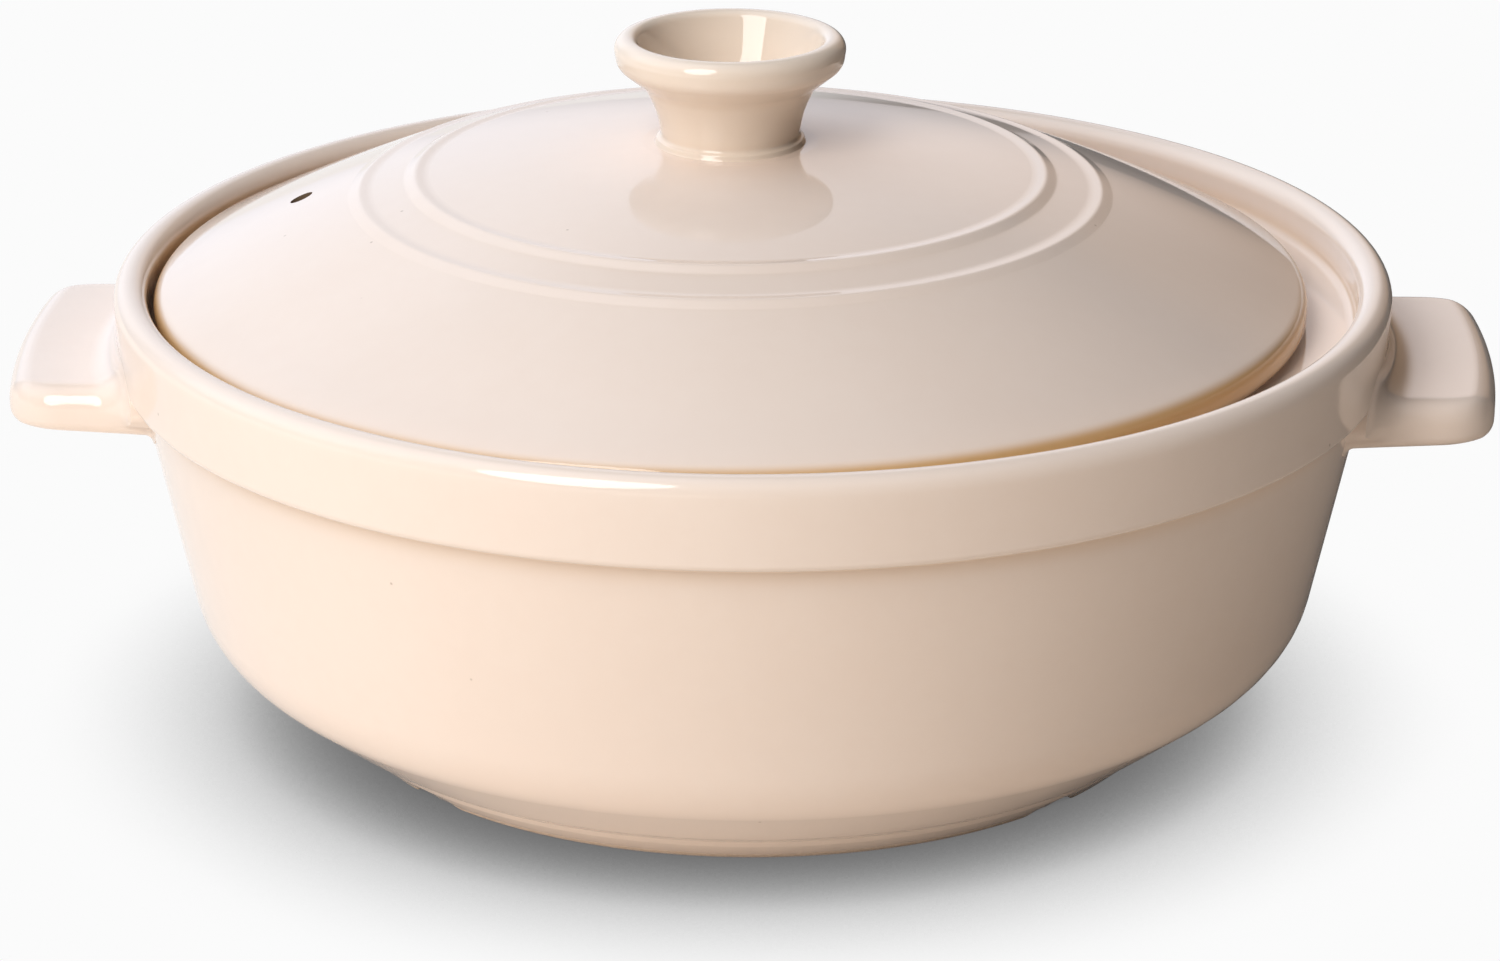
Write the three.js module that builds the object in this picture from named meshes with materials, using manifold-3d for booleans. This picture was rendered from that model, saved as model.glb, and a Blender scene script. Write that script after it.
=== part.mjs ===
// A glazed clay casserole: a low stoneware bowl with a thick collar and two lug handles,
// and a stepped lid with a steam vent and a hollow flared knob.
// Millimetres, +Z up. The origin is the centre of the foot ring, on the surface that the pot stands on.
// The handles reach out along X, and the front of the pot faces -Y.
import * as THREE from 'three';
import { mergeVertices } from 'three/addons/utils/BufferGeometryUtils.js';
import Module from 'manifold-3d';

// Bowl
const rimHeight = 91.2; // table to the top of the rim
const collarRadius = 125; // collar's outer face at its lower edge
const collarFlare = 0.9; // the rim is this much wider than the collar's lower edge
const collarHeight = 17.6; // rim down to the collar's lower edge
const collarOverhang = 3.2; // collar's lower edge stands proud of the wall
const collarEdgeRound = 1.6;
const wallTaper = 10.8; // the wall draws in by this much from the collar to the knee
const wallThickness = 7;
const kneeHeight = 21.9; // where the wall turns under towards the foot
const kneeRound = 9;
const floorThickness = 6.5;
const bowlKneeRound = 22; // inside, above the knee
const bowlFloorRound = 26; // inside, where the floor sweeps up

// Foot
const footRadius = 83.2;
const footRingWidth = 9.2;
const footRecess = 2.5; // hollow under the floor, inside the foot ring
const footBandReach = 5.3; // the foot's outer band leans out by this much
const footBandHeight = 4.6;
const grooveDepth = 1.2; // soft groove between the foot's band and the underside
const grooveRun = 4.7; // from the band's top edge out to where the underside starts
const grooveRise = 3.6;
const footEdgeRound = 1.2;
const notchWidth = 13;
const notchHeight = 3;
const notchCount = 4;

// Rim and gallery, the ledge inside the rim that carries the lid
const rimThickness = 6.8;
const galleryDepth = 9.2; // rim down to the ledge
const galleryCove = 2.2;
const ledgeWidth = 15;
const throatHeight = 5; // straight throat under the ledge
const throatBlend = 16; // height over which the throat flows into the wall
const throatRound = 2.2;

// Handles
const handleReach = 21.8; // beyond the collar's face
const handleSplay = 0.04; // each tip reaches out further towards the back, by this much for each millimetre
const handleWidth = 70.4;
const handleThickness = 9.75;
const handleRise = 1.25; // top of the handle above the collar's lower edge
const handleTipRadius = 235; // the tip's edge is a shallow arc
const handleCornerRound = 9;
const handleTopRound = 4.6; // soft upper edge
const handleLowRound = 2.2; // lower edge
const handleRootRound = 6; // hollow curve where the handle's top and sides run into the collar
const handleUnderRound = 1.6; // the same below, where it runs into the wall

// Lid
const lidPlay = 5.4; // room all round between the lid and the gallery
const lidRestGap = 1; // the lid rests pushed towards -X, until only this much is left there
const lidEdgeHeight = 5.9;
const lidEdgeRound = 4; // upper edge
const lidFootRound = 2.4; // lower edge
const lidSeatWidth = 8.5;
const lidThickness = 5.4;
const outerStepRadius = 71.9;
const outerStepRise = 24.7; // the lid's seat up to the outer step's lip
const innerStepRadius = 60.9;
const innerStepRise = 27.9;
const stepDrop = 1.5;
const stepRun = 2.4;
const stepRound = 1.3;
const flankBulge = 0.35; // how far the flank swells beyond a straight cone
const discBulge = 0.8; // the same for the disc inside the inner step
const knobSeatRise = 33.6; // the lid's seat up to the flat that carries the knob
const ventDiameter = 4.4;
const ventRadius = 86; // vent's distance from the lid's axis
const ventAngle = 175; // degrees from +X

// Knob
const knobHeight = 21;
const knobBeadRadius = 15.2; // the bead of slip round the knob's base
const knobBeadHeight = 1.2;
const knobFlatMargin = 2; // the lid's flat reaches this far beyond the bead
const knobNeckRadius = 13.5;
const knobWaistRadius = 14.5;
const knobWaistHeight = 6.4;
const knobFlareRadius = 16.8;
const knobFlareHeight = 11.1;
const knobRimRadius = 23;
const knobRimHeight = 5.6;
const knobRimRound = 3.2;
const knobLip = 3.2; // thickness of the rim at the mouth
const knobWall = 3.8;
const knobFloor = 4.2;

// Gaps that the slip joints and the lid's seat keep
const lutingGap = 0.3;
const seatGap = 0.3;

// Facets
const bowlSides = 56;
const lidSides = 56;
const knobSides = 32;
const notchSides = 24;
const ventSides = 16;
const arcStep = 30; // degrees of turn for one facet of a rounded corner
const handleSteps = 4; // facets of each of a handle's curves

const wasm = await Module();
wasm.setup();

// A geometry with its shared corners merged and its empty triangles left out.
function welded(geometry) {
  const bare = geometry.clone();
  bare.deleteAttribute('normal');
  bare.deleteAttribute('uv');
  const merged = mergeVertices(bare, 1e-4);
  const index = [];
  for (let i = 0; i < merged.index.count; i += 3) {
    const corners = [0, 1, 2].map((k) => merged.index.getX(i + k));
    if (new Set(corners).size === 3) index.push(...corners);
  }
  merged.setIndex(index);
  return merged;
}

function toSolid(geometry) {
  const mesh = welded(geometry);
  const vertProperties = new Float32Array(mesh.attributes.position.array);
  const triVerts = new Uint32Array(mesh.index.array);
  return new wasm.Manifold(new wasm.Mesh({ numProp: 3, vertProperties, triVerts }));
}

function toGeometry(solid) {
  const mesh = solid.getMesh();
  const geometry = new THREE.BufferGeometry();
  geometry.setAttribute('position', new THREE.Float32BufferAttribute(mesh.vertProperties, 3));
  geometry.setIndex([...mesh.triVerts]);
  return geometry;
}

// Corners are [radius, height, rounding]. Each rounded corner becomes an arc that touches both of its edges,
// and is made smaller where an edge has no room for it.
function roundedOutline(corners) {
  const points = [];
  corners.forEach(([radius, height, rounding = 0], i) => {
    const corner = new THREE.Vector2(radius, height);
    if (!rounding || i === 0 || i === corners.length - 1) {
      points.push(corner);
      return;
    }
    const toLast = new THREE.Vector2(...corners[i - 1]).sub(corner);
    const toNext = new THREE.Vector2(...corners[i + 1]).sub(corner);
    const room = 0.49 * Math.min(toLast.length(), toNext.length());
    toLast.normalize();
    toNext.normalize();
    const half = Math.acos(THREE.MathUtils.clamp(toLast.dot(toNext), -1, 1)) / 2;
    const reach = Math.min(rounding / Math.tan(half), room);
    const arcRadius = reach * Math.tan(half);
    const toCentre = toLast.clone().add(toNext).normalize();
    const centre = toCentre.clone().multiplyScalar(arcRadius / Math.sin(half)).add(corner);
    const start = toLast.multiplyScalar(reach).add(corner).sub(centre);
    const end = toNext.multiplyScalar(reach).add(corner).sub(centre);
    const turn = Math.atan2(start.cross(end), start.dot(end));
    const facets = Math.max(1, Math.round(Math.abs(THREE.MathUtils.radToDeg(turn)) / arcStep));
    for (let k = 0; k <= facets; k += 1) {
      points.push(start.clone().rotateAround(new THREE.Vector2(), (turn * k) / facets).add(centre));
    }
  });
  return points;
}

// The corner b of the edges a-b and b-c, moved in from both of them by a distance (to their left).
function insetCorner(a, b, c, distance) {
  const first = new THREE.Vector2(b[0] - a[0], b[1] - a[1]).normalize();
  const second = new THREE.Vector2(c[0] - b[0], c[1] - b[1]).normalize();
  const bisector = new THREE.Vector2(-first.y - second.y, first.x + second.x).normalize();
  const travel = distance / (-bisector.x * first.y + bisector.y * first.x);
  return [b[0] + bisector.x * travel, b[1] + bisector.y * travel];
}

// The middle of an edge, pushed out to its right: a rounding there turns the edge into a shallow bow.
function bowed(a, b, bulge) {
  const edge = new THREE.Vector2(b[0] - a[0], b[1] - a[1]);
  const out = new THREE.Vector2(edge.y, -edge.x).normalize().multiplyScalar(2 * bulge);
  const span = edge.length();
  return [(a[0] + b[0]) / 2 + out.x, (a[1] + b[1]) / 2 + out.y, (span * span) / (8 * bulge)];
}

// A profile that starts and ends on the axis, turned about Z.
function turned(corners, sides) {
  return new THREE.LatheGeometry(roundedOutline(corners), sides).rotateX(Math.PI / 2);
}

// Heights and radii that the pieces share
const collarFoot = rimHeight - collarHeight;
const wallTopRadius = collarRadius - collarOverhang;
const kneeRadius = wallTopRadius - wallTaper;
const rimRadius = collarRadius + collarFlare;
const galleryRadius = rimRadius - rimThickness;
const ledgeHeight = rimHeight - galleryDepth;
const throatRadius = galleryRadius - ledgeWidth;
const floorHeight = footRecess + floorThickness;
const lidSeatHeight = ledgeHeight + seatGap;
const lidRadius = galleryRadius - lidPlay;
const lidShift = lidPlay - lidRestGap;

function wallRadiusAt(height) {
  return THREE.MathUtils.mapLinear(height, kneeHeight, collarFoot, kneeRadius, wallTopRadius);
}

// The bowl: its profile runs from under the floor, out over the foot and the knee, up the wall and the
// collar, over the rim, and down through the gallery and the throat to the floor inside.
function potBody() {
  const footInner = footRadius - footRingWidth;
  const bandTop = [footRadius + footBandReach, footBandHeight];
  const knee = [kneeRadius, kneeHeight];
  const wallTop = [wallTopRadius, collarFoot];
  const underside = [bandTop[0] + grooveRun, footBandHeight + grooveRise];
  const groove = [bandTop[0] + grooveRun / 2 - grooveDepth, footBandHeight + grooveRise / 2];
  const bowlKnee = insetCorner(underside, knee, wallTop, wallThickness);
  const rise = (knee[1] - underside[1]) / (knee[0] - underside[0]);
  const floorEdge = bowlKnee[0] - (bowlKnee[1] - floorHeight) / rise;
  const throatFoot = ledgeHeight - throatHeight;
  const wallStart = throatFoot - throatBlend;
  const rimRound = rimThickness / 2;
  const profile = turned([
    [0, footRecess],
    [footInner - footRecess / 2, footRecess, footEdgeRound],
    [footInner, 0, footEdgeRound / 2],
    [footRadius, 0, footEdgeRound],
    [...bandTop, footEdgeRound],
    [...groove, 2 * footEdgeRound],
    [...underside, 4 * footEdgeRound],
    [...knee, kneeRound],
    [...wallTop, collarEdgeRound],
    [collarRadius, collarFoot, collarEdgeRound],
    [rimRadius, rimHeight, rimRound],
    [galleryRadius, rimHeight, rimRound],
    [galleryRadius, ledgeHeight, galleryCove],
    [throatRadius, ledgeHeight, throatRound],
    [throatRadius, throatFoot, throatBlend],
    [wallRadiusAt(wallStart) - wallThickness, wallStart, throatBlend],
    [...bowlKnee, bowlKneeRound],
    [floorEdge, floorHeight, bowlFloorRound],
    [0, floorHeight],
  ], bowlSides);
  let solid = toSolid(profile);
  // Arched notches through the foot ring, so that it does not trap steam or water.
  const notchRound = (notchWidth * notchWidth) / (8 * notchHeight) + notchHeight / 2;
  const notchLength = 2 * (footRingWidth + footBandReach);
  const notch = new THREE.CylinderGeometry(notchRound, notchRound, notchLength, notchSides)
    .translate(0, footRadius - footRingWidth / 2, notchHeight - notchRound);
  for (let k = 0; k < notchCount; k += 1) {
    const turn = ((k + 0.5) * 2 * Math.PI) / notchCount;
    solid = solid.subtract(toSolid(notch.clone().rotateZ(turn)));
  }
  return toGeometry(solid);
}

// The bowl's outside, grown by the luting gap: what a handle's root is cut to.
function handleSeat() {
  const gap = lutingGap;
  const low = kneeHeight;
  return toSolid(turned([
    [0, low],
    [wallRadiusAt(low) + gap, low],
    [wallTopRadius + gap, collarFoot - gap, collarEdgeRound - gap],
    [collarRadius + gap, collarFoot - gap, collarEdgeRound + gap],
    [rimRadius + gap, rimHeight],
    [0, rimHeight],
  ], bowlSides));
}

// How far an arc of a radius has left a straight line, at a distance short of where it meets the line again.
function arcAt(distance, radius) {
  const run = THREE.MathUtils.clamp(radius - distance, 0, radius);
  return radius - Math.sqrt(radius * radius - run * run);
}

// The lug handle on the +X side: rounded rectangles lofted from inside the wall to the tip. They spread at the
// root, where the lug runs into the wall and the collar, and close in at the tip.
function handleSolid() {
  const rootRadius = wallTopRadius - wallThickness / 2;
  const tip = collarRadius + handleReach;
  const top = collarFoot + handleRise;
  const wallRadius = wallRadiusAt(top - handleThickness);
  const reaches = [rootRadius];
  const quarter = Math.PI / 2;
  for (let k = 0; k <= handleSteps; k += 1) {
    const run = 1 - Math.cos((quarter * k) / handleSteps);
    reaches.push(wallRadius + handleUnderRound * run);
    reaches.push(collarRadius + handleRootRound * run);
    reaches.push(tip - handleCornerRound * run);
  }
  reaches.sort((a, b) => a - b);
  const rings = reaches.map((reach) => {
    const share = (reach - rootRadius) / (tip - rootRadius);
    const beyond = reach - collarRadius;
    const spread = arcAt(beyond, handleRootRound);
    const underSpread = arcAt(reach - wallRadius, handleUnderRound);
    const high = top + spread - arcAt(tip - reach, handleTopRound);
    const low = top - handleThickness - underSpread + arcAt(tip - reach, handleLowRound);
    const half = handleWidth / 2 - arcAt(tip - reach, handleCornerRound);
    const foot = [low, half + underSpread, handleLowRound + underSpread];
    const head = [high, half + spread, handleTopRound + spread];
    return handleSection(foot, head).map(([across, height]) => {
      const wall = Math.sqrt(rootRadius ** 2 - across ** 2);
      const brow = tip - handleTipRadius + Math.sqrt(handleTipRadius ** 2 - across ** 2) + handleSplay * across;
      return new THREE.Vector3(THREE.MathUtils.lerp(wall, brow, share), across, height);
    });
  });
  return toSolid(loft(rings)).subtract(handleSeat());
}

// Points round a handle's section and along its two long edges. Its foot and its head are each given as
// [height, half width, rounding], and the roundings shrink together where the section is too thin for them.
function handleSection(foot, head) {
  const fit = Math.min(1, (head[0] - foot[0]) / (head[2] + foot[2]));
  const points = [];
  for (const [side, [edge, half, rounding], start] of [[1, head, 0], [-1, foot, 180]]) {
    const round = rounding * fit;
    const inner = half - round;
    const height = edge - side * round;
    for (let k = 0; k <= handleSteps; k += 1) {
      const angle = THREE.MathUtils.degToRad(start + (90 * k) / handleSteps);
      points.push([side * inner + round * Math.cos(angle), height + round * Math.sin(angle)]);
    }
    for (let k = 1; k < handleSteps; k += 1) {
      points.push([side * inner * (1 - (2 * k) / handleSteps), height + side * round]);
    }
    for (let k = 0; k <= handleSteps; k += 1) {
      const angle = THREE.MathUtils.degToRad(start + 90 + (90 * k) / handleSteps);
      points.push([-side * inner + round * Math.cos(angle), height + round * Math.sin(angle)]);
    }
  }
  return points;
}

// A closed skin over rings of equally many points, with a flat cap on the first and the last ring.
function loft(rings) {
  const count = rings[0].length;
  const index = [];
  for (let i = 0; i + 1 < rings.length; i += 1) {
    for (let k = 0; k < count; k += 1) {
      const a = i * count + k;
      const b = i * count + ((k + 1) % count);
      index.push(a, b, a + count, b, b + count, a + count);
    }
  }
  const last = (rings.length - 1) * count;
  for (let k = 1; k + 1 < count; k += 1) {
    index.push(0, k + 1, k, last, last + k, last + k + 1);
  }
  const geometry = new THREE.BufferGeometry().setFromPoints(rings.flat());
  geometry.setIndex(index);
  return geometry;
}

// The lid, on its own axis: its profile runs from the middle underneath, out to the seat, round the edge, and
// up over the flank and the two steps to the flat under the knob.
function lidDome() {
  const seat = lidSeatHeight;
  const edgeTop = [lidRadius, seat + lidEdgeHeight];
  const outerLip = [outerStepRadius, seat + outerStepRise];
  const outerFoot = [outerStepRadius + stepRun, outerLip[1] - stepDrop];
  const innerLip = [innerStepRadius, seat + innerStepRise];
  const innerFoot = [innerStepRadius + stepRun, innerLip[1] - stepDrop];
  const discEdge = [knobBeadRadius + knobFlatMargin, seat + knobSeatRise];
  const seatInner = lidRadius - lidSeatWidth;
  const under = insetCorner(edgeTop, outerFoot, discEdge, lidThickness);
  const fall = (outerFoot[1] - edgeTop[1]) / (edgeTop[0] - outerFoot[0]);
  const seatTop = under[1] - fall * (seatInner - under[0]);
  const solid = toSolid(turned([
    [0, discEdge[1] - lidThickness],
    [under[0], under[1], bowlKneeRound],
    [seatInner, seatTop, lidEdgeRound],
    [seatInner, seat, stepRound],
    [lidRadius, seat, lidFootRound],
    [...edgeTop, lidEdgeRound],
    bowed(edgeTop, outerFoot, flankBulge),
    [...outerFoot, stepRound],
    [...outerLip, stepRound],
    [...innerFoot, stepRound],
    [...innerLip, stepRound],
    bowed(innerLip, discEdge, discBulge),
    [...discEdge, lidEdgeRound],
    [0, discEdge[1]],
  ], lidSides));
  // The steam vent, pierced square to the flank.
  const angle = THREE.MathUtils.degToRad(ventAngle);
  const height = edgeTop[1] + fall * (lidRadius - ventRadius);
  const vent = new THREE.CylinderGeometry(ventDiameter / 2, ventDiameter / 2, 4 * lidThickness, ventSides)
    .rotateX(Math.PI / 2)
    .rotateY(Math.atan(fall))
    .translate(ventRadius, 0, height)
    .rotateZ(angle);
  return toGeometry(solid.subtract(toSolid(vent)));
}

// The knob, on the lid's axis: a flared cup on a neck, with a bead of slip round its base.
function lidKnob() {
  const base = lidSeatHeight + knobSeatRise + lutingGap;
  const top = base + knobHeight;
  const rimFoot = top - knobRimHeight;
  const mouth = knobRimRadius - knobLip;
  return turned([
    [0, base],
    [knobBeadRadius, base, knobBeadHeight / 3],
    [knobBeadRadius, base + knobBeadHeight, knobBeadHeight / 2],
    [knobNeckRadius, base + knobBeadHeight, knobBeadHeight / 3],
    [knobWaistRadius, base + knobWaistHeight, knobFlareRadius],
    [knobFlareRadius, base + knobFlareHeight, knobRimHeight],
    [knobRimRadius - knobRimRound / 4, rimFoot, knobRimRound],
    [knobRimRadius, top, knobRimRound / 2],
    [mouth, top, knobRimRound / 2],
    [knobFlareRadius - knobWall / 2, base + knobFlareHeight, knobFlareRadius],
    [knobWaistRadius - knobWall, base + knobFloor, knobWall],
    [0, base + knobFloor],
  ], knobSides);
}

function piece(name, geometry, colour, roughness) {
  const material = new THREE.MeshStandardMaterial({ color: colour, roughness, metalness: 0 });
  const mesh = new THREE.Mesh(geometry, material);
  mesh.name = name;
  return mesh;
}

const creamGlaze = 0xecdccd;
const warmGlaze = 0xeedcc8;
const glazeRoughness = 0.12;

const pot = new THREE.Group();
pot.add(piece('pot_body', potBody(), creamGlaze, glazeRoughness));
const rightHandle = handleSolid();
const leftHandle = rightHandle.mirror([1, 0, 0]);
pot.add(piece('handle_right', toGeometry(rightHandle), creamGlaze, glazeRoughness));
pot.add(piece('handle_left', toGeometry(leftHandle), creamGlaze, glazeRoughness));

const lid = new THREE.Group();
lid.add(piece('lid_dome', lidDome(), creamGlaze, glazeRoughness));
lid.add(piece('lid_knob', lidKnob(), warmGlaze, glazeRoughness));
lid.position.x = -lidShift;

const casserole = new THREE.Group();
casserole.add(pot, lid);

export default casserole;
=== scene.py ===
# %% [markdown]
# # A glazed clay casserole
#
# The real pot is five pieces of stoneware: a low bowl with a thick collar, two lugs stuck to it with wet
# clay, a loose lid with two turned steps, and a hollow knob stuck on the lid. All of them are fired under
# one glossy cream glaze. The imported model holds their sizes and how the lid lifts, so it is loaded first,
# as a frame that nothing here moves. This lesson makes each surface fine and gives it its finish.

# %% The frame
import math

import bmesh
import bpy
from mathutils import Matrix, Vector
from mathutils.bvhtree import BVHTree


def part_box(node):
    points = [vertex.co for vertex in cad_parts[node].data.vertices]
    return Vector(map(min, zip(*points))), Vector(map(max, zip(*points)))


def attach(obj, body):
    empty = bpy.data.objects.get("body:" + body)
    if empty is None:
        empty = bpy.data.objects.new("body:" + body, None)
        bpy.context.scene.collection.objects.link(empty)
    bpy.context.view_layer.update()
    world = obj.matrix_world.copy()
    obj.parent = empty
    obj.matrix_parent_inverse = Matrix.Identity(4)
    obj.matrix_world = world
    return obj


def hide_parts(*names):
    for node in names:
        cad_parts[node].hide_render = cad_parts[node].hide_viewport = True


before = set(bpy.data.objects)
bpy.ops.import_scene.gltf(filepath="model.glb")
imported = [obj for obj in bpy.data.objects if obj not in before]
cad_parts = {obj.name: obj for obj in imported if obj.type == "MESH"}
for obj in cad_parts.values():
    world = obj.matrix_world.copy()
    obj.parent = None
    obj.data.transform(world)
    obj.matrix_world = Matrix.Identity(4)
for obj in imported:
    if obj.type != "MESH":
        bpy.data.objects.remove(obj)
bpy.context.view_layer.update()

MM = 0.001  # sizes below are in millimetres, and meshes are in metres

# %% [markdown]
# ## Wiring node trees in a script
#
# Trees are usually wired with the mouse. In a script two small helpers do the same work: one adds a node
# and fills its inputs, each with a plain value or with another node's output, and one does a single sum.

# %% Adding a node
def add_node(tree, kind, inputs=(), **settings):
    """Adds a node, sets its properties, and fills its inputs with values or links."""
    node = tree.nodes.new(kind)
    for name, value in settings.items():
        setattr(node, name, value)
    for key, value in dict(inputs).items():
        if isinstance(value, bpy.types.NodeSocket):
            tree.links.new(value, node.inputs[key])
        else:
            node.inputs[key].default_value = value
    return node


def reckon(tree, operation, *values):
    """The result of one sum in a tree."""
    return add_node(tree, "ShaderNodeMath", enumerate(values), operation=operation).outputs[0]

# %% [markdown]
# Every tree here starts and ends alike. It takes in clay, sizes that have names, and a finish, and hands
# back real geometry that wears the finish. A piece runs it as a modifier.

# %% Starting, ending and running a tree
def new_tree(name, sizes):
    """A Geometry Nodes tree with clay going in and out, named inputs for its sizes, and a finish."""
    tree = bpy.data.node_groups.new(name, "GeometryNodeTree")
    tree.interface.new_socket("Clay", in_out="OUTPUT", socket_type="NodeSocketGeometry")
    tree.interface.new_socket("Clay", in_out="INPUT", socket_type="NodeSocketGeometry")
    for size, kind in sizes.items():
        tree.interface.new_socket(size, in_out="INPUT", socket_type="NodeSocket" + kind)
    tree.interface.new_socket("Finish", in_out="INPUT", socket_type="NodeSocketMaterial")
    return tree, tree.nodes.new("NodeGroupInput").outputs


def close_tree(tree, entry, clay):
    """Ends a tree with smooth faces, real geometry in place of instances, and its finish."""
    smooth = add_node(tree, "GeometryNodeSetShadeSmooth", {"Geometry": clay})
    real = add_node(tree, "GeometryNodeRealizeInstances", {"Geometry": smooth.outputs[0]})
    ends = {"Geometry": real.outputs[0], "Material": entry["Finish"]}
    dressed = add_node(tree, "GeometryNodeSetMaterial", ends)
    tree.links.new(dressed.outputs[0], tree.nodes.new("NodeGroupOutput").inputs[0])
    return tree


def run_tree(piece, tree, values):
    """Gives a piece a tree as its modifier. Inputs are set by identifier, because names may repeat."""
    modifier = piece.modifiers.new(tree.name, "NODES")
    modifier.node_group = tree
    for item in tree.interface.items_tree:
        if item.in_out == "INPUT" and item.name in values:
            modifier[item.identifier] = values[item.name]

# %% [markdown]
# A finished piece is baked, which leaves a plain mesh in place of its modifiers. Its volume is a check: it
# comes out negative if the faces point inwards.

# %% Baking, placing and measuring
CUBIC_CM = 1e-6  # in cubic metres


def baked(piece):
    """Makes what a piece's modifiers show into its own plain mesh, and takes the modifiers away."""
    graph = bpy.context.evaluated_depsgraph_get()
    shown = piece.evaluated_get(graph)
    mesh = bpy.data.meshes.new_from_object(shown, preserve_all_data_layers=True, depsgraph=graph)
    piece.modifiers.clear()
    piece.data = mesh
    return piece


def placed(name, data):
    """An object for some data, in the scene and at the origin."""
    thing = bpy.data.objects.new(name, data)
    bpy.context.scene.collection.objects.link(thing)
    return thing


def clay_volume(piece):
    """A closed piece's volume in cubic centimetres. It is negative where its faces point inwards."""
    solid = bmesh.new()
    solid.from_mesh(piece.data)
    volume = solid.calc_volume(signed=True)
    solid.free()
    return volume / CUBIC_CM

# %% [markdown]
# ## The glaze
#
# A clear, glossy glaze lies over pale clay. Where it runs thick, in a groove or under a step, it looks
# deeper and warmer, and that deeper colour also stands as painted shade in the hollows. Over a sharp edge
# it thins and looks paler, which also stands as a painted highlight. A picture texture could hold that,
# but it would show only this one pot. Here pieces carry attributes instead: one says where a profile is
# hollow or sharp, one marks the gap round the lid's edge, where amber is painted warm bounce light and
# brown at the very foot painted shadow, one says where glaze was wiped off, and one marks the inside of
# the vent, where dark brown is painted shade. The material mixes its colours by them.

# %% Colours of the glaze and the clay
CREAM = (0.830, 0.678, 0.568, 1.0)
CREAM_PALE = (0.860, 0.722, 0.617, 1.0)
# The deep cream is glaze pooled thick, and also painted shade in the hollows where it goes.
CREAM_DEEP_AND_SHADED = (0.740, 0.520, 0.340, 1.0)
# The knob's cream is made a little warmer, as painted warm light bounced from the lid.
WARM_WITH_BOUNCE_LIGHT = (0.840, 0.695, 0.560, 1.0)
WARM_PALE_WITH_BOUNCE_LIGHT = (0.865, 0.725, 0.600, 1.0)
IRON_SPECK = (0.300, 0.190, 0.110, 1.0)
BARE_CLAY = (0.640, 0.470, 0.330, 1.0)
# Amber is painted warm bounce light in the gap round the lid's edge.
AMBER_BOUNCE_LIGHT = (0.620, 0.340, 0.090, 1.0)
# Dark brown is painted shade, in the hole of the vent and at the lid's very foot.
PAINTED_SHADE_BROWN = (0.180, 0.120, 0.075, 1.0)


def mix_colours(tree, share, first, second):
    """A mix of two colours by a share from 0 to 1."""
    ends = {0: share, 6: first, 7: second}
    return add_node(tree, "ShaderNodeMix", ends, data_type="RGBA").outputs[2]


def remapped(tree, value, low, high, new_low=0.0, new_high=1.0):
    """A value moved from one range to another, and held inside it."""
    ends = {0: value, 1: low, 2: high, 3: new_low, 4: new_high}
    return add_node(tree, "ShaderNodeMapRange", ends, interpolation_type="SMOOTHSTEP").outputs[0]


def soft_noise(tree, place, scale, detail):
    """Noise at a place. A larger scale makes it finer."""
    ends = {"Vector": place, "Scale": scale, "Detail": detail}
    return add_node(tree, "ShaderNodeTexNoise", ends).outputs[0]


def carried(tree, name):
    """The value of an attribute, or 0 on a piece that doesn't carry it."""
    return add_node(tree, "ShaderNodeAttribute", attribute_name=name).outputs["Fac"]

# %% [markdown]
# The rest is texture in Object coordinates, which stay with a piece when it moves. Broad clouds make the
# tint and the gloss uneven, small cells leave a few iron specks, and a faint bump makes reflections swim
# as they do on real glaze.

# %% Textures of the glaze and the clay
CLOUD_SCALE = 16  # scales are in waves or cells for each metre
SWELL_SCALE = 42
SPECK_SCALE = 210
MOTTLE_SCALE = 260
GRAIN_SCALE = 900
TINT_MOTTLE = 0.35  # how much mottle is added to the clouds
TINT_RANGE = (0.45, 0.95)
TINT_MIX = 0.45
POOL_START = 0.05  # how hollow or sharp a profile is before it shows
POOL_FULL = 1.0
# Hollows get painted shade with the pooled glaze, and sharp edges a painted highlight with the thin glaze.
POOL_AND_SHADE_MIX = 0.55
EDGE_HIGHLIGHT_MIX = 0.6
SPECK_FREE = 0.975  # the share of cells that have no speck
SPECK_SIZE = (0.09, 0.03)  # from a speck's edge to its dark middle
SPECK_MIX = 0.5
# Painted light at the lid's edge: amber bounce light and brown shadow.
BOUNCE_LIGHT_MIX = 0.85
GAP_SHADOW_MIX = 0.9
DRY_MOTTLE = 0.3  # breaks up the edge of the bare clay
DRY_RANGE = (0.55, 0.75)
GLOSS_RANGE = (0.3, 0.7)
GLAZE_ROUGHNESS = (0.035, 0.075)
CLAY_ROUGHNESS = 0.85
MOTTLE_BUMP = 0.035  # beside the swell, which counts as 1
SAND_BUMP = 0.8
BUMP_DEPTH = 0.00007  # in metres
GLAZE_IOR = 1.52


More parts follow.
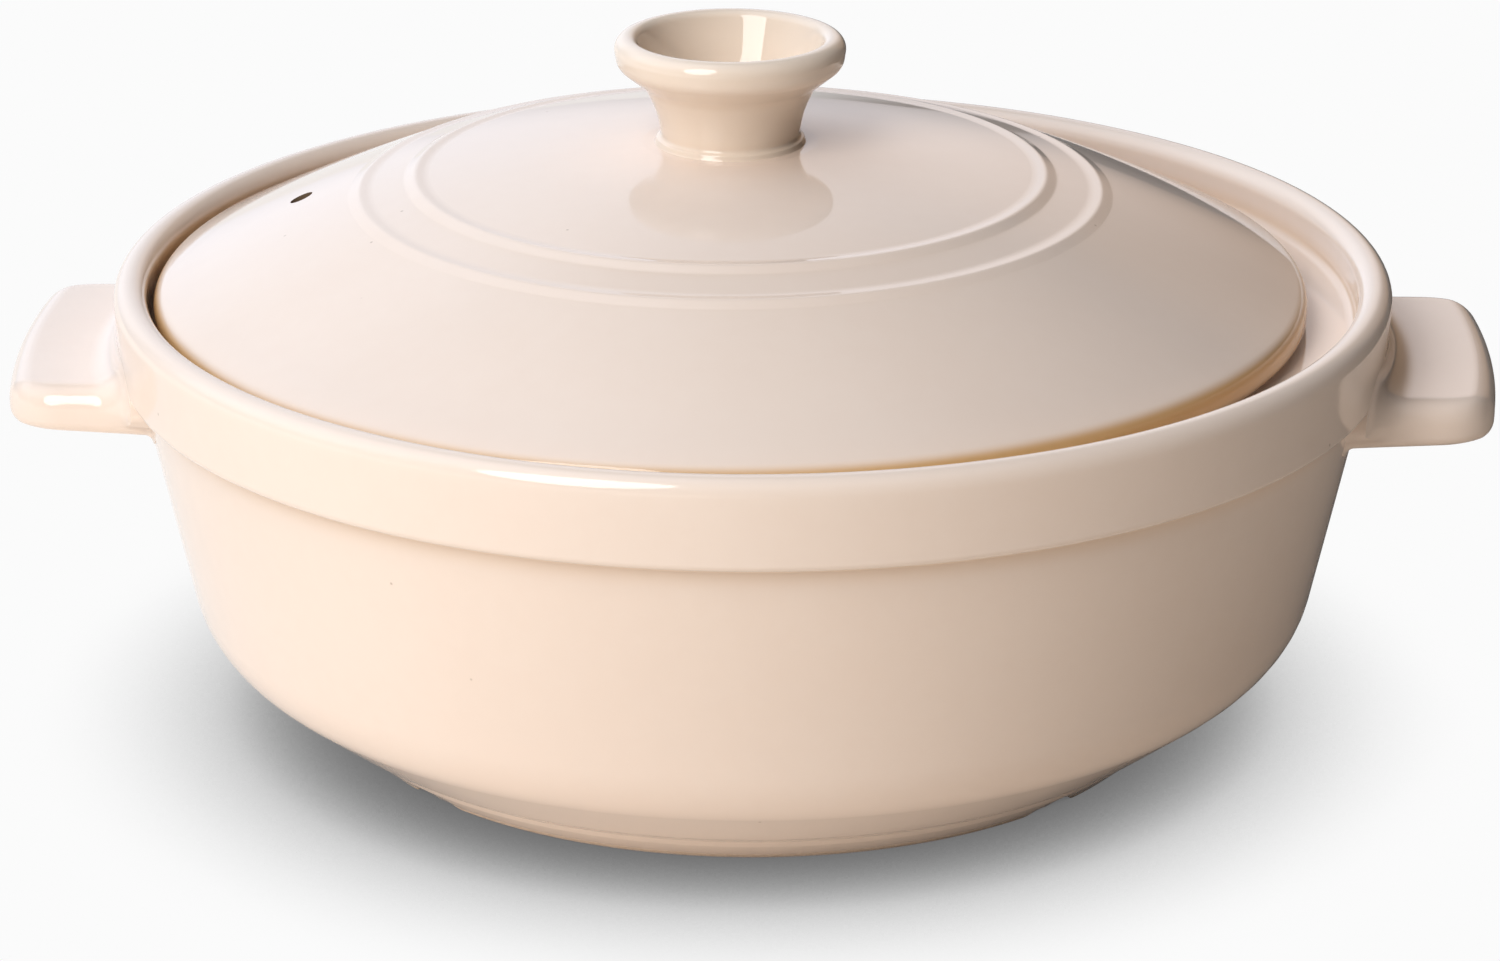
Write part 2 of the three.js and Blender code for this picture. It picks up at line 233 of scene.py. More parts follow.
def glaze_material(name, body, pale, deep_and_shaded):
    """A glossy glaze over clay, thin on edges with a painted highlight, pooled in hollows with painted
    shade.
    """
    material = bpy.data.materials.new(name)
    material.use_nodes = True
    tree = material.node_tree
    tree.nodes.clear()
    place = add_node(tree, "ShaderNodeTexCoord").outputs["Object"]
    clouds = soft_noise(tree, place, CLOUD_SCALE, 3)
    mottle = soft_noise(tree, place, MOTTLE_SCALE, 2)
    grain = soft_noise(tree, place, GRAIN_SCALE, 4)
    swell = soft_noise(tree, place, SWELL_SCALE, 1)

    tint = reckon(tree, "ADD", clouds, reckon(tree, "MULTIPLY", mottle, TINT_MOTTLE))
    colour = mix_colours(tree, remapped(tree, tint, *TINT_RANGE, 0.0, TINT_MIX), body, pale)
    # Hollows take the deep colour, which is pooled glaze and painted shade. Sharp edges take the pale one,
    # which is thin glaze and a painted highlight.
    pool_and_painted_light = carried(tree, "pool_and_painted_light")
    thick_and_shaded = remapped(tree, pool_and_painted_light, POOL_START, POOL_FULL, 0.0, POOL_AND_SHADE_MIX)
    colour = mix_colours(tree, thick_and_shaded, colour, deep_and_shaded)
    thin_and_highlit = remapped(tree, pool_and_painted_light, -POOL_START, -POOL_FULL, 0.0, EDGE_HIGHLIGHT_MIX)
    colour = mix_colours(tree, thin_and_highlit, colour, pale)

    cells = add_node(tree, "ShaderNodeTexVoronoi", {"Vector": place, "Scale": SPECK_SCALE}).outputs
    chosen = add_node(tree, "ShaderNodeSeparateColor", {"Color": cells["Color"]}).outputs[0]
    rare = reckon(tree, "GREATER_THAN", chosen, SPECK_FREE)
    speck = reckon(tree, "MULTIPLY", rare, remapped(tree, cells["Distance"], *SPECK_SIZE))
    colour = mix_colours(tree, reckon(tree, "MULTIPLY", speck, SPECK_MIX), colour, IRON_SPECK)

    # Painted light: amber for warm bounce light in the gap round the lid's edge, and dark brown for shadow
    # at its very foot and inside the vent.
    run = carried(tree, "run")
    colour = mix_colours(tree, remapped(tree, run, 0.0, 1.0, 0.0, BOUNCE_LIGHT_MIX), colour, AMBER_BOUNCE_LIGHT)
    colour = mix_colours(tree, remapped(tree, run, 1.0, 2.0, 0.0, GAP_SHADOW_MIX), colour, PAINTED_SHADE_BROWN)
    colour = mix_colours(tree, carried(tree, "vent_painted_shade"), colour, PAINTED_SHADE_BROWN)

    worn = reckon(tree, "ADD", carried(tree, "bare"), reckon(tree, "MULTIPLY", mottle, DRY_MOTTLE))
    dry = remapped(tree, worn, *DRY_RANGE)
    clay = mix_colours(tree, grain, BARE_CLAY, pale)
    colour = mix_colours(tree, dry, colour, clay)
    gloss = remapped(tree, clouds, *GLOSS_RANGE, *GLAZE_ROUGHNESS)
    roughness = reckon(tree, "MAXIMUM", gloss, reckon(tree, "MULTIPLY", dry, CLAY_ROUGHNESS))

    fine = reckon(tree, "MULTIPLY", mottle, MOTTLE_BUMP)
    sand = reckon(tree, "MULTIPLY", reckon(tree, "MULTIPLY", grain, dry), SAND_BUMP)
    height = reckon(tree, "ADD", reckon(tree, "ADD", swell, fine), sand)
    bump = add_node(tree, "ShaderNodeBump", {"Height": height, "Distance": BUMP_DEPTH, "Strength": 1.0})
    shader = add_node(tree, "ShaderNodeBsdfPrincipled", {
        "Base Color": colour,
        "Roughness": roughness,
        "Normal": bump.outputs[0],
        "IOR": GLAZE_IOR,
    })
    add_node(tree, "ShaderNodeOutputMaterial", {"Surface": shader.outputs[0]})
    return material


cream_glaze = glaze_material("cream_glaze", CREAM, CREAM_PALE, CREAM_DEEP_AND_SHADED)
# The knob's glaze is the same cream made a little warmer, as painted light bounced from the lid.
warm_glaze = glaze_material("warm_glaze", WARM_WITH_BOUNCE_LIGHT, WARM_PALE_WITH_BOUNCE_LIGHT, CREAM_DEEP_AND_SHADED)
print("finishes:", cream_glaze.name, warm_glaze.name)

# %% [markdown]
# ## Drawing a profile
#
# Everything round here follows from half of its section, as a potter's template does. A profile is written
# as a few corners, each with a radius, a height and a rounding, and arcs replace the corners. Straight runs
# get a point close to each of their ends, so that smooth shading bends only at the arcs and reflections
# stay straight between them.

# %% Points from rounded corners
ARC_STEP = math.radians(8)
LONGEST_STEP = 4.5
END_STEP = 0.35
END_SHARE = 1 / 4  # the most of a short run that its end step takes
ARC_SHARE = 0.98  # how much of an edge its two arcs may take
SHARP_RADIUS = 2.5  # an edge at least this sharp has the thinnest glaze
LEAST_RADIUS = 0.1
LEAST_REACH = 1e-6


def straight_points(start, end):
    """Points of a straight run after its start. One that ends on the axis needs no point close to it."""
    span = (end - start).length
    first = min(END_STEP, span * END_SHARE) if start.x > 0 else 0.0
    last = min(END_STEP, span * END_SHARE) if end.x > 0 else 0.0
    steps = max(1, math.ceil((span - first - last) / LONGEST_STEP))
    stops = [first + (span - first - last) * k / steps for k in range(steps + 1)]
    return [start.lerp(end, stop / span) for stop in stops if 0 < stop < span] + [end]


def arc_reaches(corners):
    """How far each corner's arc reaches along its edges. Two arcs that want too much share their edge."""
    wants = [0.0]
    for before, corner, after in zip(corners, corners[1:], corners[2:]):
        here = Vector(corner[:2])
        half = (Vector(before[:2]) - here).angle(Vector(after[:2]) - here) / 2
        wants.append(corner[2] / math.tan(half))
    wants.append(0.0)
    reaches = list(wants)
    for k in range(len(corners) - 1):
        length = (Vector(corners[k][:2]) - Vector(corners[k + 1][:2])).length
        fit = min(1.0, ARC_SHARE * length / max(wants[k] + wants[k + 1], LEAST_REACH))
        reaches[k] = min(reaches[k], wants[k] * fit)
        reaches[k + 1] = min(reaches[k + 1], wants[k + 1] * fit)
    return reaches


def rounded_profile(corners):
    """Points of a profile and, for each of them, how hollow (positive) or sharp (negative) it is."""
    points = [Vector(corners[0][:2])]
    hollows = [0.0]
    reaches = arc_reaches(corners)[1:]
    for before, corner, after, reach in zip(corners, corners[1:], corners[2:], reaches):
        here = Vector(corner[:2])
        back = (Vector(before[:2]) - here).normalized()
        ahead = (Vector(after[:2]) - here).normalized()
        half = back.angle(ahead) / 2
        radius = reach * math.tan(half)
        centre = here + (back + ahead).normalized() * radius / math.sin(half)
        spoke = here + back * reach - centre
        turn = math.pi - 2 * half
        side = 1 if back.x * ahead.y - back.y * ahead.x < 0 else -1
        steps = max(2, math.ceil(turn / ARC_STEP), math.ceil(turn * radius / LONGEST_STEP))
        run = straight_points(points[-1], here + back * reach)
        points += run
        hollows += [0.0] * len(run)
        bend = -side * min(1.0, SHARP_RADIUS / max(radius, LEAST_RADIUS))
        for k in range(1, steps + 1):
            points.append(centre + Matrix.Rotation(side * turn * k / steps, 2) @ spoke)
            hollows.append(bend)
    run = straight_points(points[-1], Vector(corners[-1][:2]))
    return points + run, hollows + [0.0] * len(run)

# %% [markdown]
# Two more helpers set corners out: one follows the inside of an even wall, and one bows an edge a little.

# %% Setting out corners
def inset_corner(a, b, c, distance):
    """The corner b of the edges a-b and b-c, moved in from both of them."""
    first = Vector((b[0] - a[0], b[1] - a[1])).normalized()
    second = Vector((c[0] - b[0], c[1] - b[1])).normalized()
    bisector = Vector((-first.y - second.y, first.x + second.x)).normalized()
    travel = distance / (bisector.y * first.x - bisector.x * first.y)
    return b[0] + bisector.x * travel, b[1] + bisector.y * travel


def bowed(a, b, bulge):
    """The middle of an edge, pushed out, with a rounding that turns the edge into a shallow bow."""
    edge = Vector((b[0] - a[0], b[1] - a[1]))
    out = Vector((edge.y, -edge.x)).normalized() * 2 * bulge
    return (a[0] + b[0]) / 2 + out.x, (a[1] + b[1]) / 2 + out.y, edge.length_squared / (8 * bulge)

# %% [markdown]
# A profile becomes a line of points in the XZ plane, which carry the glaze's attributes. Glaze flows a
# little before it sets, so pools are averaged along the line, and so is the band of painted bounce light
# and shadow at the lid's edge. The edge of wiped clay stays sharp.

# %% A profile and its glaze
POOL_SPREAD = 1.6  # how far along a profile the glaze evens out
LEAST_WIDTH = 0.05


def evened(points, values):
    """Values averaged along a profile."""
    along = [0.0]
    for last, here in zip(points, points[1:]):
        along.append(along[-1] + (here - last).length)
    widths = [max(b - a, LEAST_WIDTH) for a, b in zip(along, along[1:])] + [LEAST_WIDTH]
    result = []
    for here in along:
        weights = [math.exp(-(((s - here) / POOL_SPREAD) ** 2)) * w for s, w in zip(along, widths)]
        result.append(sum(w * v for w, v in zip(weights, values)) / sum(weights))
    return result


def profile_piece(name, corners, bare_below=0.0, bounce_light_below=0.0, gap_shadow_below=0.0):
    """A line of points. Below given heights its glaze is wiped off, painted amber as bounce light, or brown
    as shadow.
    """
    points, hollows = rounded_profile(corners)
    mesh = bpy.data.meshes.new(name)
    mesh.from_pydata([(p.x * MM, 0, p.y * MM) for p in points], [], [])
    # One step up for the band of painted bounce light, and another for the painted shadow at the very foot.
    gap_light_levels = [float(p.y < bounce_light_below) + float(p.y < gap_shadow_below) for p in points]
    # How hollow or sharp the profile is drives pooled glaze with painted shade, and thin glaze with a
    # painted highlight.
    glaze_and_painted_light = {
        "pool_and_painted_light": evened(points, hollows),
        "bare": [float(p.y < bare_below) for p in points],
        "run": evened(points, gap_light_levels),
    }
    for key, values in glaze_and_painted_light.items():
        mesh.attributes.new(key, "FLOAT", "POINT").data.foreach_set("value", values)
    return placed(name, mesh)

# %% [markdown]
# ## The potter's wheel
#
# A Screw modifier could turn a profile, but it spaces its steps evenly and drops the attributes. This tree
# does it by rule: a grid gets one column for each step round the wheel and one row for each point of the
# profile, each of its points looks up its row's radius and height, and the seam and the poles are merged.
# Columns can crowd together where a foot notch or a vent needs fine faces. A little noise along the normals
# leaves the slight unevenness that firing does.

# %% The wheel's tree
WOBBLE_SCALE = 13.0  # swells for each metre
MERGE_REACH = 1e-6  # points closer than this, in metres, become one


def wheel_tree():
    """Turns a profile about an upright axis."""
    tree, entry = new_tree("potters_wheel", {
        "Sides": "Int",
        "Crowds": "Int",
        "Crowd Angle": "Float",
        "Crowding": "Float",
        "Axis": "Vector",
        "Wobble": "Float",
        "Seed": "Float",
    })
    count = add_node(tree, "GeometryNodeAttributeDomainSize", {0: entry["Clay"]}, component="MESH")
    points = count.outputs["Point Count"]
    sizes = {"Vertices X": reckon(tree, "ADD", entry["Sides"], 1), "Vertices Y": points}
    sheet = add_node(tree, "GeometryNodeMeshGrid", sizes).outputs["Mesh"]
    index = add_node(tree, "GeometryNodeInputIndex").outputs[0]
    row = reckon(tree, "MODULO", index, points)
    column = reckon(tree, "FLOOR", reckon(tree, "DIVIDE", index, points))

    even = reckon(tree, "DIVIDE", reckon(tree, "MULTIPLY", column, 2 * math.pi), entry["Sides"])
    phase = reckon(tree, "MULTIPLY", reckon(tree, "SUBTRACT", even, entry["Crowd Angle"]), entry["Crowds"])
    pull = reckon(tree, "DIVIDE", reckon(tree, "SINE", phase), entry["Crowds"])
    angle = reckon(tree, "SUBTRACT", even, reckon(tree, "MULTIPLY", pull, entry["Crowding"]))

    def looked_up(kind, value):
        ends = {"Geometry": entry["Clay"], "Value": value, "Index": row}
        return add_node(tree, "GeometryNodeSampleIndex", ends, data_type=kind).outputs[0]

    position = add_node(tree, "GeometryNodeInputPosition").outputs[0]
    corner = add_node(tree, "ShaderNodeSeparateXYZ", {0: looked_up("FLOAT_VECTOR", position)}).outputs
    place = add_node(tree, "ShaderNodeCombineXYZ", {
        "X": reckon(tree, "MULTIPLY", corner["X"], reckon(tree, "COSINE", angle)),
        "Y": reckon(tree, "MULTIPLY", corner["X"], reckon(tree, "SINE", angle)),
        "Z": corner["Z"],
    }).outputs[0]
    centred = add_node(tree, "ShaderNodeVectorMath", {0: place, 1: entry["Axis"]}, operation="ADD")
    clay = sheet
    for name in ("pool_and_painted_light", "bare", "run"):
        value = add_node(tree, "GeometryNodeInputNamedAttribute", {"Name": name})
        ends = {"Geometry": clay, "Name": name, "Value": looked_up("FLOAT", value.outputs[0])}
        clay = add_node(tree, "GeometryNodeStoreNamedAttribute", ends).outputs[0]
    clay = add_node(tree, "GeometryNodeSetPosition", {0: clay, "Position": centred.outputs[0]}).outputs[0]
    ends = {"Geometry": clay, "Distance": MERGE_REACH}
    clay = add_node(tree, "GeometryNodeMergeByDistance", ends).outputs[0]

    waves = {"Vector": position, "W": entry["Seed"], "Scale": WOBBLE_SCALE, "Detail": 1.0}
    noise = add_node(tree, "ShaderNodeTexNoise", waves, noise_dimensions="4D").outputs[0]
    push = reckon(tree, "MULTIPLY", reckon(tree, "SUBTRACT", noise, 0.5), entry["Wobble"])
    normal = add_node(tree, "GeometryNodeInputNormal").outputs[0]
    offset = add_node(tree, "ShaderNodeVectorMath", {0: normal, "Scale": push}, operation="SCALE")
    clay = add_node(tree, "GeometryNodeSetPosition", {0: clay, "Offset": offset.outputs[0]}).outputs[0]
    return close_tree(tree, entry, clay)


wheel = wheel_tree()
print("the wheel's tree has", len(wheel.nodes), "nodes")

# %% [markdown]
# ## The bowl
#
# The bowl is cast or thrown in one piece. Its wall leans out from a soft knee to a thick collar, which
# hides a ledge that carries the lid. The foot is a plain cone with a shallow groove turned round it, and
# stands on a ring that is wiped clean of glaze so that it doesn't stick to the kiln shelf.

# %% The bowl's sizes and its profile
pot_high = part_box("pot_body")[1]
rim_height = pot_high.z / MM
collar_radius = 125.0
collar_flare = 0.9
collar_height = 17.6
collar_overhang = 3.2
collar_edge_round = 1.6
wall_taper = 10.8
wall_thickness = 7.0
knee_height = 21.9
knee_round = 18.0
floor_thickness = 6.5
bowl_knee_round = 22.0
bowl_floor_round = 26.0
foot_radius = 83.2
foot_ring_width = 9.2
foot_recess = 2.5
foot_band_reach = 5.3
foot_band_height = 4.6
groove_depth = 0.6
groove_run = 4.7
groove_rise = 3.6
foot_edge_round = 1.2
rim_thickness = 6.8
gallery_depth = 9.2
gallery_cove = 2.2
ledge_width = 15.0
throat_height = 5.0
throat_blend = 16.0
throat_round = 2.2

collar_foot = rim_height - collar_height
wall_top_radius = collar_radius - collar_overhang
knee_radius = wall_top_radius - wall_taper
rim_radius = collar_radius + collar_flare
gallery_radius = rim_radius - rim_thickness
ledge_height = rim_height - gallery_depth
throat_radius = gallery_radius - ledge_width
floor_height = foot_recess + floor_thickness


def wall_radius_at(height):
    """The outside of the wall between the knee and the collar."""
    return wall_top_radius - wall_taper * (collar_foot - height) / (collar_foot - knee_height)


def bowl_corners():
    """The bowl's profile: under the floor, out over the foot, up the wall, over the rim and down inside."""
    foot_inner = foot_radius - foot_ring_width
    band_top = (foot_radius + foot_band_reach, foot_band_height)
    groove = (band_top[0] + groove_run / 2 - groove_depth, foot_band_height + groove_rise / 2)
    underside = (band_top[0] + groove_run, foot_band_height + groove_rise)
    knee = (knee_radius, knee_height)
    wall_top = (wall_top_radius, collar_foot)
    inner_knee = inset_corner(underside, knee, wall_top, wall_thickness)
    rise = (knee[1] - underside[1]) / (knee[0] - underside[0])
    floor_edge = inner_knee[0] - (inner_knee[1] - floor_height) / rise
    throat_foot = ledge_height - throat_height
    wall_start = throat_foot - throat_blend
    rim_round = rim_thickness / 2
    return [
        (0, foot_recess),
        (foot_inner - foot_recess / 2, foot_recess, foot_edge_round),
        (foot_inner, 0, foot_edge_round / 2),
        (foot_radius, 0, foot_edge_round),
        (*band_top, foot_edge_round),
        (*groove, 2 * foot_edge_round),
        (*underside, 4 * foot_edge_round),
        (*knee, knee_round),
        (*wall_top, collar_edge_round),
        (collar_radius, collar_foot, collar_edge_round),
        (rim_radius, rim_height, rim_round),
        (gallery_radius, rim_height, rim_round),
        (gallery_radius, ledge_height, gallery_cove),
        (throat_radius, ledge_height, throat_round),
        (throat_radius, throat_foot, throat_blend),
        (wall_radius_at(wall_start) - wall_thickness, wall_start, throat_blend),
        (*inner_knee, bowl_knee_round),
        (floor_edge, floor_height, bowl_floor_round),
        (0, floor_height),
    ]


print("bowl in mm:", round(2 * rim_radius, 1), "across the rim,", round(rim_height, 1), "high")

# %% [markdown]
# Four arched notches let steam and water out from under the foot ring. A boolean would cut them with
# thin, badly shaded faces, so a second tree lifts the ring's own points up to the arch instead. Smooth
# Maximum rounds the edge, as glaze does.

# %% The foot notches
notch_width = 13.0
notch_height = 3.0
notch_count = 4
notch_round = 0.5
notch_run_out = 0.5  # how fast the arch sinks towards the middle of the pot


def notch_tree():
    """Lifts a foot ring's points into arched notches, evenly round it."""
    tree, entry = new_tree("foot_notches", {
        "Count": "Float",
        "Arch Radius": "Float",
        "Arch Height": "Float",
        "Inner Radius": "Float",
        "Edge Round": "Float",
    })
    position = add_node(tree, "GeometryNodeInputPosition").outputs[0]
    at = add_node(tree, "ShaderNodeSeparateXYZ", {0: position}).outputs
    flat = add_node(tree, "ShaderNodeCombineXYZ", {"X": at["X"], "Y": at["Y"]}).outputs[0]
    radius = add_node(tree, "ShaderNodeVectorMath", {0: flat}, operation="LENGTH").outputs["Value"]
    turn = reckon(tree, "MULTIPLY", reckon(tree, "ARCTAN2", at["Y"], at["X"]), entry["Count"])
    folded = reckon(tree, "SUBTRACT", reckon(tree, "FLOORED_MODULO", turn, 2 * math.pi), math.pi)
    across = reckon(tree, "MULTIPLY", radius, reckon(tree, "DIVIDE", folded, entry["Count"]))
    arch_square = reckon(tree, "POWER", entry["Arch Radius"], 2)
    squares = reckon(tree, "SUBTRACT", arch_square, reckon(tree, "POWER", across, 2))
    rise = reckon(tree, "SQRT", reckon(tree, "MAXIMUM", squares, 0))
    arch = reckon(tree, "ADD", reckon(tree, "SUBTRACT", rise, entry["Arch Radius"]), entry["Arch Height"])
    short = reckon(tree, "MAXIMUM", reckon(tree, "SUBTRACT", entry["Inner Radius"], radius), 0)
    arch = reckon(tree, "SUBTRACT", arch, reckon(tree, "MULTIPLY", short, notch_run_out))
    lifted = reckon(tree, "SMOOTH_MAX", at["Z"], arch, entry["Edge Round"])
    place = add_node(tree, "ShaderNodeCombineXYZ", {"X": at["X"], "Y": at["Y"], "Z": lifted}).outputs[0]
    clay = add_node(tree, "GeometryNodeSetPosition", {0: entry["Clay"], "Position": place}).outputs[0]
    return close_tree(tree, entry, clay)

# %% [markdown]
# The wheel turns the bowl's profile, the notches follow as a second modifier, and both are baked.

# %% Turning the bowl
BOWL_SIDES = 360
BOWL_CROWDING = 0.72  # 0 spaces columns evenly
FIRED_WOBBLE = 0.35
BARE_BAND = 0.7  # how far up the foot ring the glaze is wiped off
bowl = profile_piece("bowl", bowl_corners(), bare_below=BARE_BAND)
run_tree(bowl, wheel, {
    "Sides": BOWL_SIDES,
    "Crowds": notch_count,
    "Crowd Angle": math.pi / notch_count,
    "Crowding": BOWL_CROWDING,
    "Wobble": FIRED_WOBBLE * MM,
    "Seed": 1.0,
    "Finish": cream_glaze,
})
run_tree(bowl, notch_tree(), {
    "Count": float(notch_count),
    "Arch Radius": (notch_width ** 2 / (8 * notch_height) + notch_height / 2) * MM,
    "Arch Height": notch_height * MM,
    "Inner Radius": (foot_radius - foot_ring_width - foot_recess / 2) * MM,
    "Edge Round": notch_round * MM,
    "Finish": cream_glaze,
})
baked(bowl)
print("bowl:", len(bowl.data.polygons), "faces,", round(clay_volume(bowl)), "cm3 of clay")

# %% [markdown]
# ## The lid
#
# The lid is a shallow cone with a round edge. Two turned steps lead up to a nearly flat disc. Each step's
# lip stands proud of a shallow dip inside it, which leaves a bright line with a dark one beside it. Below
# is an even wall with a flat ring at the edge, wiped clean of glaze, that sits on the bowl's ledge. The
# lid lies a little to one side in the gallery, as a loose lid does.

# %% The lid's sizes and its profile
lid_low, lid_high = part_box("lid_dome")
lid_axis = (lid_low + lid_high).x / 2
lid_seat = lid_low.z / MM
lid_play = 5.4  # between the lid and the gallery, all round
lid_radius = gallery_radius - lid_play
lid_edge_height = 5.9
lid_edge_round = 4.0
lid_foot_round = 2.4
lid_seat_width = 8.5
lid_thickness = 5.4
outer_step_radius = 72.9
outer_step_rise = 24.7
inner_step_radius = 61.9
inner_step_rise = 27.9
step_drop = 1.2
step_run = 2.2
lip_round = 1.8
crease_round = 2.2
dip_run = 2.2
dip_depth = 0.4
dip_round = 5.0
seat_edge_round = 1.3
flank_bulge = 0.35
disc_bulge = 0.8
disc_height = lid_high.z / MM
disc_edge_radius = 17.2
edge_top = (lid_radius, lid_seat + lid_edge_height)
outer_lip = (outer_step_radius, lid_seat + outer_step_rise)
outer_foot = (outer_step_radius + step_run, outer_lip[1] - step_drop)
flank_fall = (outer_foot[1] - edge_top[1]) / (edge_top[0] - outer_foot[0])


def dip_inside(lip, beyond):
    """A shallow dip just inside a step's lip, so that the lip stands proud."""
    place = Vector(lip) + (Vector(beyond) - Vector(lip)).normalized() * dip_run
    return place.x, place.y - dip_depth, dip_round


def lid_corners():
    """The lid's profile: from underneath, out to the seat, round the edge and up over the steps."""
    inner_lip = (inner_step_radius, lid_seat + inner_step_rise)
    inner_foot = (inner_step_radius + step_run, inner_lip[1] - step_drop)
    disc_edge = (disc_edge_radius, disc_height)
    disc_dip = dip_inside(inner_lip, disc_edge)
    seat_inner = lid_radius - lid_seat_width
    under = inset_corner(edge_top, outer_foot, disc_edge, lid_thickness)
    seat_top = under[1] - flank_fall * (seat_inner - under[0])
    return [
        (0, disc_height - lid_thickness),
        (*under, bowl_knee_round),
        (seat_inner, seat_top, lid_edge_round),
        (seat_inner, lid_seat, seat_edge_round),
        (lid_radius, lid_seat, lid_foot_round),
        (*edge_top, lid_edge_round),
        bowed(edge_top, outer_foot, flank_bulge),
        (*outer_foot, crease_round),
        (*outer_lip, lip_round),
        dip_inside(outer_lip, inner_foot),
        (*inner_foot, crease_round),
        (*inner_lip, lip_round),
        disc_dip,
        bowed(disc_dip, disc_edge, disc_bulge),
        (*disc_edge, lid_edge_round),
        (0, disc_height),
    ]


print("lid in mm:", round(2 * lid_radius, 1), "across, with its axis at", round(lid_axis / MM, 1))

# %% [markdown]
# The steam vent is pierced square to the lid's flank. Here a boolean is right: the wheel crowds its
# columns round that spot, so the cut leaves only small faces. The drill is a cone, a little wider outside,
# where glaze draws the edge back. Its faces carry a dark brown that is painted shade inside the hole, and
# the cut's edges stay sharp.

# %% The steam vent
VENT_SIDES = 40
vent_diameter = 4.4
vent_mouth = 4.8
vent_radius = 86.0
vent_angle = math.radians(175)


def vent_tree():
    """Pierces the clay with one round hole."""
    tree, entry = new_tree("steam_vent", {
        "Mouth Radius": "Float",
        "Inner Radius": "Float",
        "Depth": "Float",
        "Place": "Vector",
        "Lean": "Rotation",
    })
    drill = add_node(tree, "GeometryNodeMeshCone", {
        "Vertices": VENT_SIDES,
        "Radius Top": entry["Mouth Radius"],
        "Radius Bottom": entry["Inner Radius"],
        "Depth": entry["Depth"],
    }).outputs["Mesh"]
    ends = {"Geometry": drill, "Translation": entry["Place"], "Rotation": entry["Lean"]}
    drill = add_node(tree, "GeometryNodeTransform", ends).outputs[0]
    # The hole's faces are marked for painted shade.
    ends = {"Geometry": drill, "Name": "vent_painted_shade", "Value": 1.0}
    drill = add_node(tree, "GeometryNodeStoreNamedAttribute", ends, domain="FACE").outputs[0]
    ends = {"Mesh 1": entry["Clay"], "Mesh 2": drill}
    cut = add_node(tree, "GeometryNodeMeshBoolean", ends, operation="DIFFERENCE", solver="EXACT")
    crisp = {
        "Geometry": cut.outputs["Mesh"],
        "Selection": cut.outputs["Intersecting Edges"],
        "Shade Smooth": False,
    }
    clay = add_node(tree, "GeometryNodeSetShadeSmooth", crisp, domain="EDGE")
    return close_tree(tree, entry, clay.outputs[0])

# %% [markdown]
# The same wheel turns the lid, with another seed for its unevenness. Round the lid's edge, which sits in
# the gap, amber is painted warm bounce light, and brown at the very foot is painted shadow.

# %% Turning and piercing the lid
LID_SIDES = 300
LID_CROWDING = 0.75
BOUNCE_LIGHT_BAND = 6.6  # how far up the lid's edge amber is painted as warm bounce light
GAP_SHADOW_BAND = 2.0  # how far up brown is painted as shadow
SEAT_BAND = 0.2  # how far up it is wiped off
lid = profile_piece(
    "lid",
    lid_corners(),
    bare_below=lid_seat + SEAT_BAND,
    bounce_light_below=lid_seat + BOUNCE_LIGHT_BAND,
    gap_shadow_below=lid_seat + GAP_SHADOW_BAND,
)
run_tree(lid, wheel, {
    "Sides": LID_SIDES,
    "Crowds": 1,
    "Crowd Angle": vent_angle,
    "Crowding": LID_CROWDING,
    "Axis": (lid_axis, 0.0, 0.0),
    "Wobble": FIRED_WOBBLE * MM,
    "Seed": 2.0,
    "Finish": cream_glaze,
})
vent_height = edge_top[1] + flank_fall * (lid_radius - vent_radius)
vent_lean = math.atan(flank_fall)
around = Vector((math.cos(vent_angle), math.sin(vent_angle), 0))
vent_out = around * math.sin(vent_lean) + Vector((0, 0, math.cos(vent_lean)))
vent_spot = around * vent_radius + Vector((lid_axis / MM, 0, vent_height))
drill_reach = 1.5 * lid_thickness  # clear of the clay on both sides
drill_flare = (vent_mouth - vent_diameter) / 2 / lid_thickness * drill_reach
run_tree(lid, vent_tree(), {
    "Mouth Radius": (vent_mouth / 2 + drill_flare) * MM,
    "Inner Radius": (vent_mouth / 2 - drill_flare) * MM,
    "Depth": 2 * drill_reach * MM,
    "Place": (vent_spot - vent_out * drill_reach) * MM,
    "Lean": (0.0, vent_lean, vent_angle),
    "Finish": cream_glaze,
})
baked(lid)
print("lid:", len(lid.data.polygons), "faces,", round(clay_volume(lid)), "cm3 of clay")

# %% [markdown]
# ## The knob
#
# The knob is a little cup on a neck, thrown separately and stuck down with a bead of slip. The bead is
# part of this piece here: it runs out onto the lid in a small hollow curve, so no gap shows at the joint.

# %% The knob's sizes and its profile
knob_low, knob_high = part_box("lid_knob")
knob_sink = 0.4  # how deep the slip reaches into the lid
knob_base = disc_height - knob_sink
knob_foot = knob_low.z / MM
knob_top = knob_high.z / MM
bead_radius = 14.7
bead_height = 0.7
bead_skirt = 0.4  # how far the slip spreads on the lid
neck_radius = 13.5
waist_radius = 14.5
waist_height = 6.4
flare_radius = 16.8
flare_height = 11.1
knob_rim_radius = 23.0
knob_rim_height = 5.6
knob_rim_round = 3.2
knob_lip = 4.4
knob_wall = 3.8
knob_floor = 4.2


